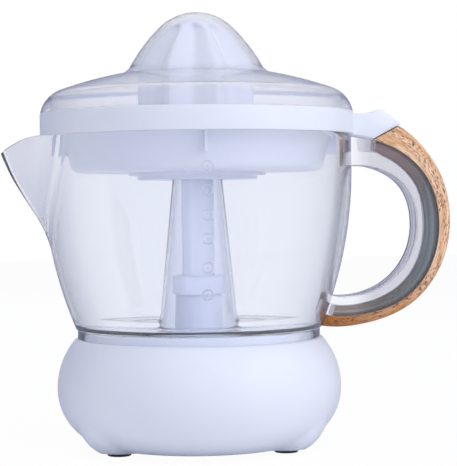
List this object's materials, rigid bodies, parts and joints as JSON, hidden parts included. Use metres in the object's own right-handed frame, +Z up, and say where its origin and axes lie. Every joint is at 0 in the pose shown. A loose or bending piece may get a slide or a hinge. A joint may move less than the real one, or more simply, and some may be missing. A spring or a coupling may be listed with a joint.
{
  "type": "electric citrus press",
  "caption": "Table citrus press: round white motor base, clear jug with beak spout and wood-backed handle, white strainer ring, ribbed reaming cone under a clear domed lid.",
  "frame": {"origin": "on the table, under the middle of the overall length from spout tip to handle", "axes": "+Z up along the drive axis, +X towards the handle, -X towards the spout, -Y the front"},
  "size_m": [0.2428, 0.1684, 0.2344],
  "materials": {
    "white_plastic": "moulded, satin gloss",
    "clear_plastic": "clear, polished",
    "grip_wood": "light beech, fine dark flecks, satin",
    "smoke_plastic": "glossy grey",
    "foot_rubber": "matt black",
    "steel": "bright drawn",
    "zinc_plate": "zinc plated sheet",
    "core_steel": "laminated, varnished",
    "ferrite": "ground dark grey",
    "enamelled_copper": "enamelled copper wire",
    "nylon": "natural, matt",
    "acetal": "natural white, satin",
    "black_plastic": "moulded, matt"
  },
  "bodies": {
    "base": {"base_housing": "white_plastic", "base_plate": "white_plastic", "base_foot_left": "foot_rubber", "base_foot_right": "foot_rubber", "base_foot_back": "foot_rubber", "plate_screws": "steel", "cord_grommet": "foot_rubber", "gear_tray": "nylon", "gear_bridge": "nylon", "gear_screws": "steel", "idler_pin": "steel", "stator_core": "core_steel", "bobbin_front": "nylon", "bobbin_back": "nylon", "winding_front": "enamelled_copper", "winding_back": "enamelled_copper", "motor_bracket_top": "zinc_plate", "motor_bracket_bottom": "zinc_plate", "motor_screws": "steel", "shaft_bush": "acetal", "switch_body": "black_plastic"},
    "output": {"output_gear": "nylon"},
    "idler": {"idler_gear": "nylon"},
    "rotor": {"rotor_magnet": "ferrite", "rotor_shaft": "steel", "rotor_pinion": "nylon"},
    "pusher": {"switch_pusher": "acetal", "return_spring": "steel"},
    "plunger": {"switch_plunger": "acetal"},
    "spindle": {"drive_shaft": "steel", "drive_spindle": "white_plastic"},
    "jug": {"jug": "clear_plastic", "grip_insert": "smoke_plastic", "grip_cover": "grip_wood"},
    "strainer": {"strainer": "white_plastic"},
    "lid": {"lid": "clear_plastic"},
    "cone": {"reaming_cone": "white_plastic"}
  },
  "joints": [
    {"name": "drive_spin", "type": "hinge", "parent": "base", "child": "output", "pos_m": [-0.01612, 0, 0.041], "axis": [0, 0, 1], "continuous": true},
    {"name": "idler_spin", "type": "hinge", "parent": "base", "child": "idler", "pos_m": [0.00476, 0.01483, 0.041], "axis": [0, 0, 1], "continuous": true},
    {"name": "rotor_spin", "type": "hinge", "parent": "base", "child": "rotor", "pos_m": [-0.00311, 0.033, 0.0232], "axis": [0, 0, 1], "continuous": true},
    {"name": "press", "type": "slide", "parent": "base", "child": "pusher", "axis": [0, 0, -1], "range_m": [0, 0.0025], "stiffness_N_per_m": 1000, "springref_m": -0.004, "deforming": ["return_spring"]},
    {"name": "plunger_slide", "type": "slide", "parent": "base", "child": "plunger", "axis": [0, 0, -1], "range_m": [0, 0.0025]},
    {"name": "spindle_spin", "type": "hinge", "parent": "pusher", "child": "spindle", "pos_m": [-0.01612, 0, 0.1], "axis": [0, 0, 1], "continuous": true},
    {"name": "jug_lift", "type": "slide", "parent": "base", "child": "jug", "axis": [0, 0, 1], "range_m": [0, 0.16]},
    {"name": "strainer_lift", "type": "slide", "parent": "jug", "child": "strainer", "axis": [0, 0, 1], "range_m": [0, 0.06]},
    {"name": "lid_lift", "type": "slide", "parent": "strainer", "child": "lid", "axis": [0, 0, 1], "range_m": [0, 0.08]},
    {"name": "cone_spin", "type": "hinge", "parent": "strainer", "child": "cone", "pos_m": [-0.01612, 0, 0.18], "axis": [0, 0, 1], "continuous": true}
  ],
  "couplings": [
    {"joint": "idler_spin", "follows": "drive_spin", "ratio": -5.4},
    {"joint": "rotor_spin", "follows": "drive_spin", "ratio": 30.24},
    {"joint": "spindle_spin", "follows": "drive_spin", "ratio": 1},
    {"joint": "cone_spin", "follows": "drive_spin", "ratio": 1},
    {"joint": "plunger_slide", "follows": "press", "ratio": 1}
  ]
}
